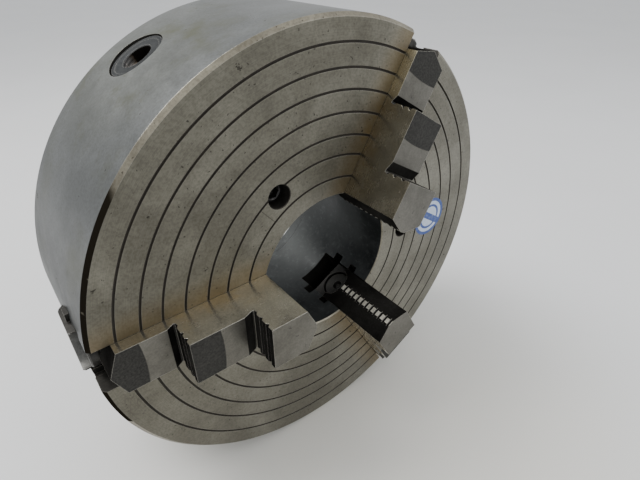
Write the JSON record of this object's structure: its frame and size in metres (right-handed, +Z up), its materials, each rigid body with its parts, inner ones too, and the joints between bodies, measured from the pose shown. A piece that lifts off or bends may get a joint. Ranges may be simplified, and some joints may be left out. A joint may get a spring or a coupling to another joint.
{
  "type": "lathe chuck",
  "caption": "Large combination lathe chuck standing on its rim: stepped jaws in radial slots, moved together by an inner scroll or singly by their own screws.",
  "frame": {"origin": "centre of the back of the chuck, where the spindle nose seats", "axes": "+Y along the chuck's axis, out of its back; the jaws face -Y; +Z up, as it stands on its rim"},
  "size_m": [0.4038, 0.191, 0.3992],
  "materials": {
    "ground_steel": "worn turned steel, oil stained",
    "jaw_steel": "ground steel with blackened hardened faces",
    "dark_steel": "dark oiled steel",
    "turned_iron": "turned iron",
    "black_screw": "black oxide",
    "paper_label": "printed paper sticker"
  },
  "bodies": {
    "body": {"chuck_body": "ground_steel", "back_cover": "turned_iron", "pinion_pin_1": "black_screw", "pinion_pin_2": "black_screw", "pinion_pin_3": "black_screw", "face_screw_1": "black_screw", "face_screw_2": "black_screw", "face_screw_3": "black_screw", "cover_screw_1": "black_screw", "cover_screw_2": "black_screw", "cover_screw_3": "black_screw", "cover_screw_4": "black_screw", "cover_screw_5": "black_screw", "cover_screw_6": "black_screw"},
    "scroll": {"scroll_plate": "dark_steel"},
    "key_pinion_1": {"pinion_1": "dark_steel"},
    "key_pinion_2": {"pinion_2": "dark_steel"},
    "key_pinion_3": {"pinion_3": "dark_steel"},
    "jaw_carrier_1": {"carrier_1": "dark_steel"},
    "jaw_carrier_2": {"carrier_2": "dark_steel"},
    "jaw_carrier_3": {"carrier_3": "dark_steel"},
    "jaw_screw_1": {"adjusting_screw_1": "dark_steel"},
    "jaw_screw_2": {"adjusting_screw_2": "dark_steel"},
    "jaw_screw_3": {"adjusting_screw_3": "dark_steel"},
    "jaw_body_1": {"jaw_1": "jaw_steel"},
    "jaw_body_2": {"jaw_2": "jaw_steel"},
    "jaw_body_3": {"jaw_3": "jaw_steel"}
  },
  "joints": [
    {"name": "scroll_turn", "type": "hinge", "parent": "body", "child": "scroll", "pos_m": [0, -0.063, 0], "axis": [0, -1, 0], "range_deg": [-90, 720]},
    {"name": "pinion_1_turn", "type": "hinge", "parent": "body", "child": "key_pinion_1", "pos_m": [0.18, -0.043, 0], "axis": [1, 0, 0], "range_deg": [-7561, 946]},
    {"name": "pinion_2_turn", "type": "hinge", "parent": "body", "child": "key_pinion_2", "pos_m": [-0.09, -0.043, 0.15588], "axis": [-0.5, 0, 0.866], "range_deg": [-7561, 946]},
    {"name": "pinion_3_turn", "type": "hinge", "parent": "body", "child": "key_pinion_3", "pos_m": [-0.09, -0.043, -0.15588], "axis": [-0.5, 0, -0.866], "range_deg": [-7561, 946]},
    {"name": "carrier_1_slide", "type": "slide", "parent": "body", "child": "jaw_carrier_1", "axis": [0.5, 0, 0.866], "range_m": [-0.02001, 0.00251]},
    {"name": "jaw_1_slide", "type": "slide", "parent": "jaw_carrier_1", "child": "jaw_body_1", "axis": [0.5, 0, 0.866], "range_m": [-0.012, 0.004]},
    {"name": "screw_1_turn", "type": "hinge", "parent": "jaw_carrier_1", "child": "jaw_screw_1", "pos_m": [0.065, -0.108, 0.11258], "axis": [0.5, 0, 0.866], "range_deg": [-181, 541]},
    {"name": "carrier_2_slide", "type": "slide", "parent": "body", "child": "jaw_carrier_2", "axis": [-1, 0, 0], "range_m": [-0.02001, 0.00251]},
    {"name": "jaw_2_slide", "type": "slide", "parent": "jaw_carrier_2", "child": "jaw_body_2", "axis": [-1, 0, 0], "range_m": [-0.012, 0.004]},
    {"name": "screw_2_turn", "type": "hinge", "parent": "jaw_carrier_2", "child": "jaw_screw_2", "pos_m": [-0.13, -0.108, 0], "axis": [-1, 0, 0], "range_deg": [-181, 541]},
    {"name": "carrier_3_slide", "type": "slide", "parent": "body", "child": "jaw_carrier_3", "axis": [0.5, 0, -0.866], "range_m": [-0.02001, 0.00251]},
    {"name": "jaw_3_slide", "type": "slide", "parent": "jaw_carrier_3", "child": "jaw_body_3", "axis": [0.5, 0, -0.866], "range_m": [-0.012, 0.004]},
    {"name": "screw_3_turn", "type": "hinge", "parent": "jaw_carrier_3", "child": "jaw_screw_3", "pos_m": [0.065, -0.108, -0.11258], "axis": [0.5, 0, -0.866], "range_deg": [-181, 541]}
  ],
  "couplings": [
    {"joint": "pinion_1_turn", "follows": "scroll_turn", "ratio": -10.5},
    {"joint": "pinion_2_turn", "follows": "scroll_turn", "ratio": -10.5},
    {"joint": "pinion_3_turn", "follows": "scroll_turn", "ratio": -10.5},
    {"joint": "carrier_1_slide", "follows": "scroll_turn", "m_per_rad": -0.0015915},
    {"joint": "screw_1_turn", "follows": "jaw_1_slide", "rad_per_m": -785.4},
    {"joint": "carrier_2_slide", "follows": "scroll_turn", "m_per_rad": -0.0015915},
    {"joint": "screw_2_turn", "follows": "jaw_2_slide", "rad_per_m": -785.4},
    {"joint": "carrier_3_slide", "follows": "scroll_turn", "m_per_rad": -0.0015915},
    {"joint": "screw_3_turn", "follows": "jaw_3_slide", "rad_per_m": -785.4}
  ]
}
